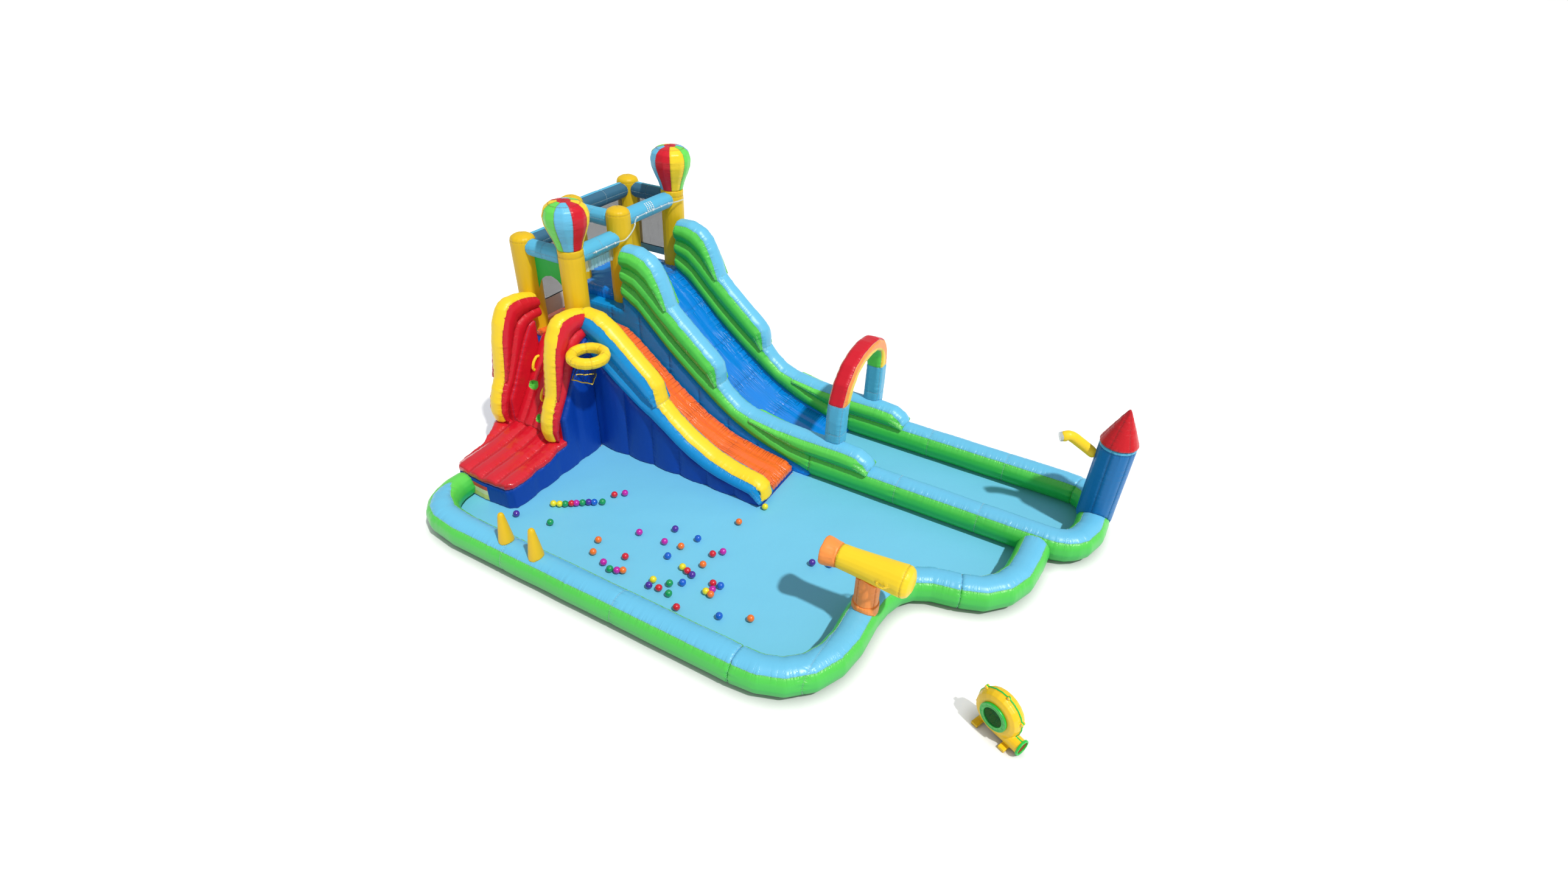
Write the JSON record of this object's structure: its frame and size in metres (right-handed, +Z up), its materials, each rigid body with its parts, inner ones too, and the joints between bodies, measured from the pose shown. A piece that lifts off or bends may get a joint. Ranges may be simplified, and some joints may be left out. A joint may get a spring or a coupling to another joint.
{
  "type": "inflatable water slide",
  "caption": "Inflatable water slide with a netted tower, climbing wall, short and long lanes, splash pool, run-out channel, turning water cannon, spray arch, hoop and blower.",
  "frame": {"origin": "on the ground, under the tower's rear chamber, where the setting-out grid of the slide's panels begins", "axes": "+X down the slides, +Y away from the climbing wall's side, +Z up"},
  "size_m": [6.6423, 4.4174, 2.9653],
  "materials": {
    "light_blue_vinyl": "coated woven polyester, soft sheen",
    "floor_vinyl": "smooth coated sheet",
    "green_vinyl": "coated woven polyester, soft sheen",
    "yellow_vinyl": "coated woven polyester, soft sheen",
    "red_vinyl": "coated woven polyester, soft sheen",
    "orange_vinyl": "glossy coated sheet",
    "lane_blue_vinyl": "glossy coated sheet",
    "mid_blue_vinyl": "coated woven polyester, soft sheen",
    "dark_blue_vinyl": "coated woven polyester, soft sheen",
    "castle_vinyl": "coated woven polyester, soft sheen",
    "grey_mesh": "knitted mesh with a hem",
    "yellow_webbing": "woven webbing",
    "clear_hose": "clear soft tube",
    "blower_yellow": "moulded, light texture",
    "blower_green": "moulded",
    "blower_grey": "moulded"
  },
  "bodies": {
    "slide": {"blower_housing": "blower_yellow", "blower_inlet_grille": "blower_green", "cannon_foot": "yellow_vinyl", "castle_roof": "red_vinyl", "castle_tower": "castle_vinyl", "channel_floor": "floor_vinyl", "channel_wall_back": "light_blue_vinyl", "channel_wall_front": "light_blue_vinyl", "climb_base": "dark_blue_vinyl", "climb_mat": "red_vinyl", "climb_wall": "red_vinyl", "far_bumper_cap": "yellow_vinyl", "far_bumper_tubes": "red_vinyl", "front_back_post": "yellow_vinyl", "front_balloon": "red_vinyl", "front_balloon_post": "yellow_vinyl", "front_base": "dark_blue_vinyl", "front_beam": "light_blue_vinyl", "front_far_beam": "light_blue_vinyl", "front_net": "grey_mesh", "front_side_beam": "light_blue_vinyl", "hoop": "yellow_vinyl", "lower_handle": "yellow_webbing", "middle_back_post": "yellow_vinyl", "middle_beam": "light_blue_vinyl", "middle_front_post": "yellow_vinyl", "near_bumper_cap": "yellow_vinyl", "near_bumper_tubes": "red_vinyl", "pool_floor": "floor_vinyl", "pool_wall_corner": "light_blue_vinyl", "pool_wall_front": "light_blue_vinyl", "pool_wall_lobe": "light_blue_vinyl", "rail1_cap": "yellow_vinyl", "rail1_tubes": "mid_blue_vinyl", "rail2_back_cap": "light_blue_vinyl", "rail2_back_tubes": "green_vinyl", "rail2_front_cap": "light_blue_vinyl", "rail2_front_tubes": "green_vinyl", "rear_back_post": "yellow_vinyl", "rear_balloon": "red_vinyl", "rear_balloon_post": "yellow_vinyl", "rear_base": "dark_blue_vinyl", "rear_beam": "light_blue_vinyl", "rear_far_beam": "light_blue_vinyl", "rear_net": "grey_mesh", "rear_side_beam": "light_blue_vinyl", "side_net": "grey_mesh", "slide1_lane": "orange_vinyl", "slide2_lane": "lane_blue_vinyl", "spray_arch": "light_blue_vinyl", "spray_arm": "yellow_vinyl", "spray_hose": "clear_hose", "upper_handle": "yellow_webbing", "valance": "green_vinyl", "wall_cone_1": "yellow_vinyl", "wall_cone_2": "yellow_vinyl"},
    "cannon_mount": {"cannon_post": "orange_vinyl"},
    "cannon_tube": {"cannon_barrel": "yellow_vinyl", "cannon_muzzle": "orange_vinyl"},
    "fan": {"blower_impeller": "blower_grey"}
  },
  "joints": [
    {"name": "cannon_turn", "type": "hinge", "parent": "slide", "child": "cannon_mount", "pos_m": [3.81, -2.0925, 0.365], "axis": [0, 0, 1], "range_deg": [-30, 30]},
    {"name": "cannon_tilt", "type": "hinge", "parent": "cannon_mount", "child": "cannon_tube", "pos_m": [3.81, -2.0925, 0.755], "axis": [0, 1, 0], "range_deg": [-8, 8]},
    {"name": "fan_spin", "type": "hinge", "parent": "slide", "child": "fan", "pos_m": [5.145, -2.5125, 0.245], "axis": [-0.4067, -0.9135, 0], "continuous": true}
  ]
}
